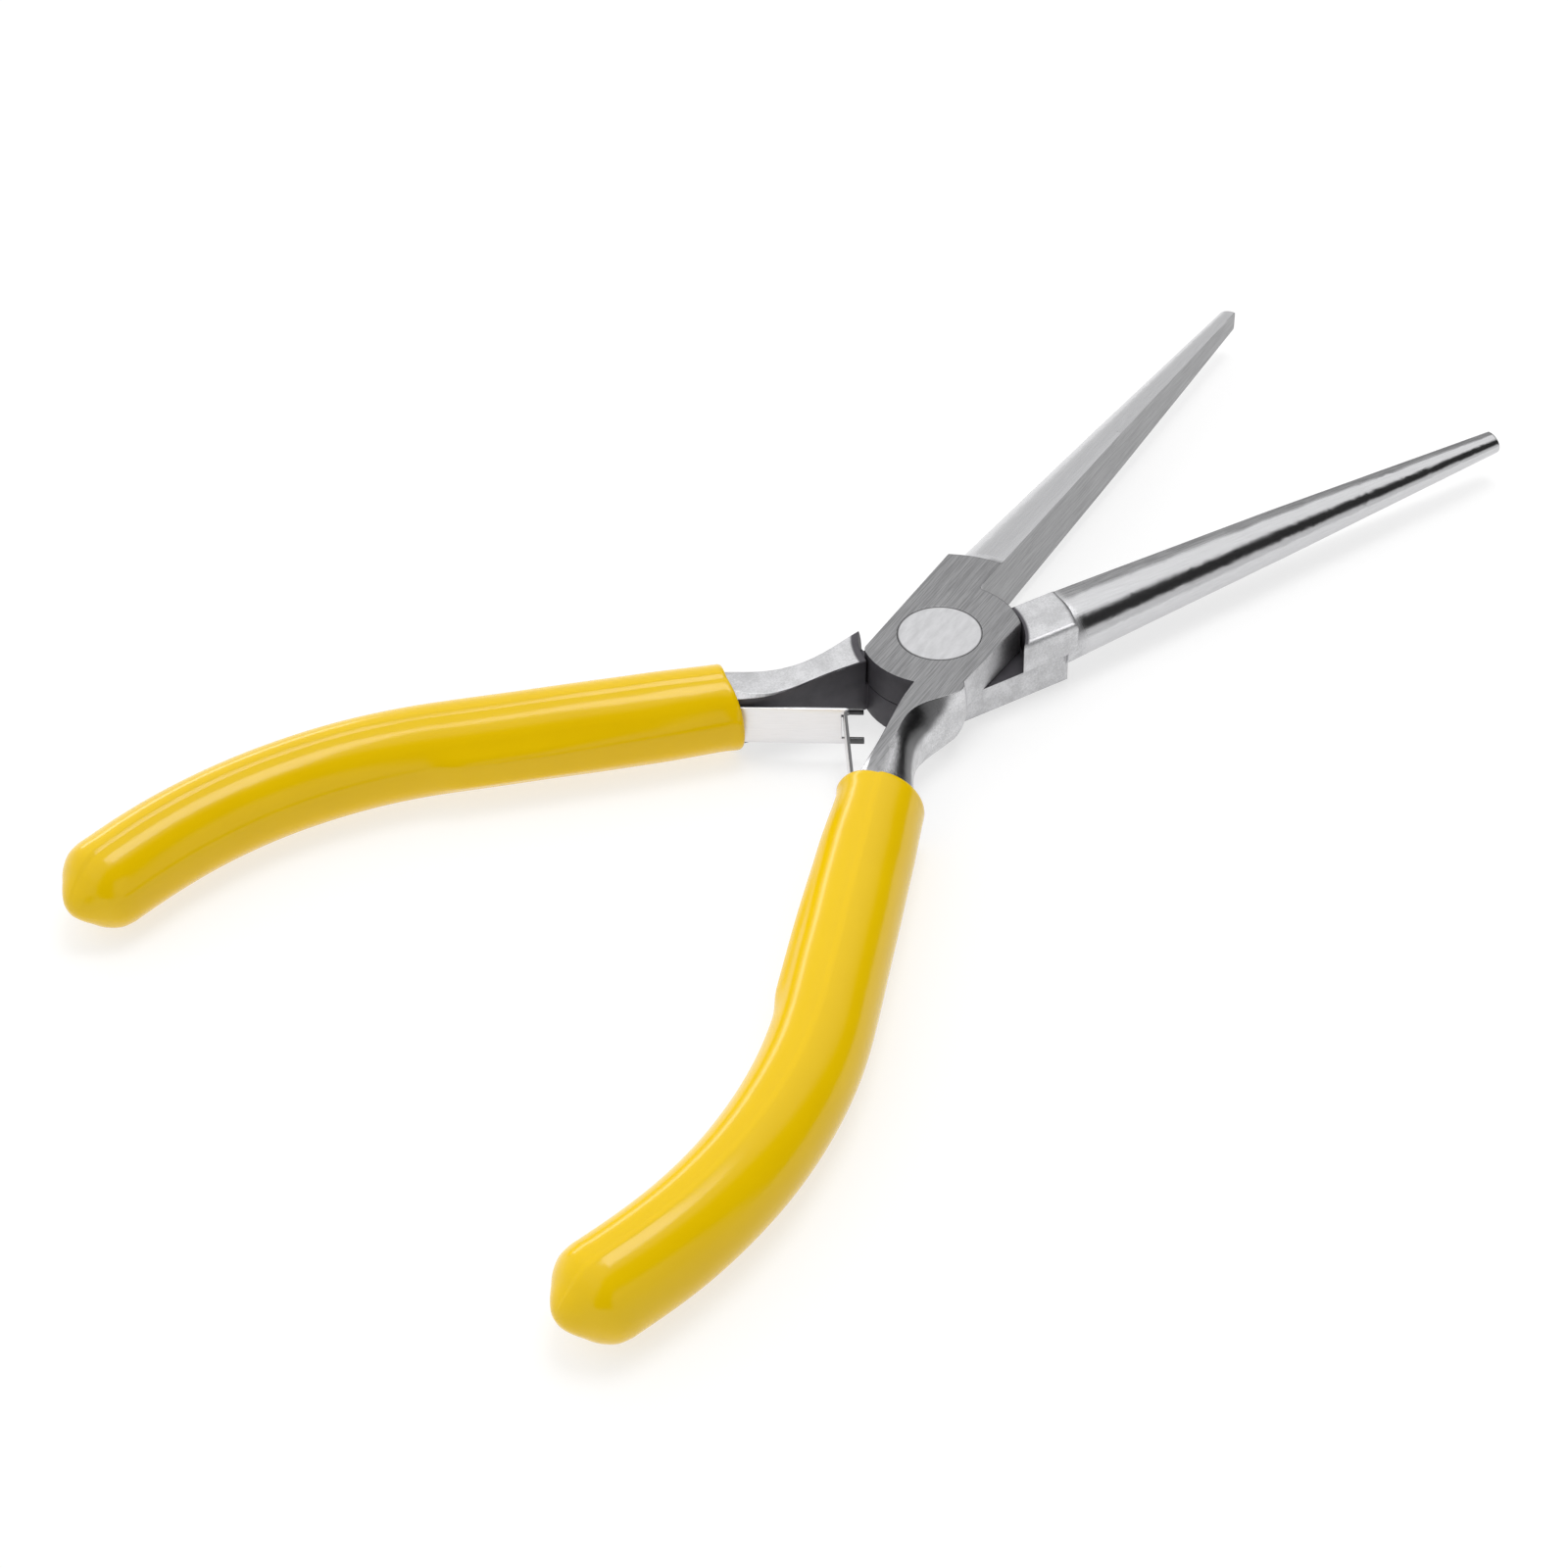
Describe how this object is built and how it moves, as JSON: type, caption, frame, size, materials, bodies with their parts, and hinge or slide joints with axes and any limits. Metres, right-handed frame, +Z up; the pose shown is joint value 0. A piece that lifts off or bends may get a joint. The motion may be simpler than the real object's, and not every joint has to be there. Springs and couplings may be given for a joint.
{
  "type": "needle nose pliers",
  "caption": "Slim needle nose pliers with long tapered jaws, a riveted lap joint, crossed leaf return springs and yellow slip-on grips.",
  "frame": {"origin": "on the pivot axis, at the ground underside of the joint, where the rivet's lower head is flush", "axes": "+X from the pivot towards the jaw tips, midway between the two halves; +Y towards the upper half's jaw; +Z up along the pivot axis"},
  "size_m": [0.1426, 0.0748, 0.0084],
  "materials": {
    "forged_steel": "ground and polished",
    "rivet_steel": "bright, slightly mottled",
    "spring_steel": "bright nickel-plated strip",
    "grip_yellow": "glossy soft vinyl"
  },
  "bodies": {
    "upper_side": {"upper_half": "forged_steel", "pivot_rivet": "rivet_steel", "upper_grip": "grip_yellow", "tongued_leaf_spring": "spring_steel", "upper_spring_rivet": "rivet_steel"},
    "lower_side": {"lower_half": "forged_steel", "lower_grip": "grip_yellow", "slotted_leaf_spring": "spring_steel", "lower_spring_rivet": "rivet_steel"}
  },
  "joints": [
    {"name": "pivot", "type": "hinge", "parent": "upper_side", "child": "lower_side", "pos_m": [0, 0, 0.0035], "axis": [0, 0, 1], "range_deg": [-6.3, 28.7], "stiffness_Nm_per_rad": 0.6, "deforming": ["slotted_leaf_spring", "tongued_leaf_spring"]}
  ]
}
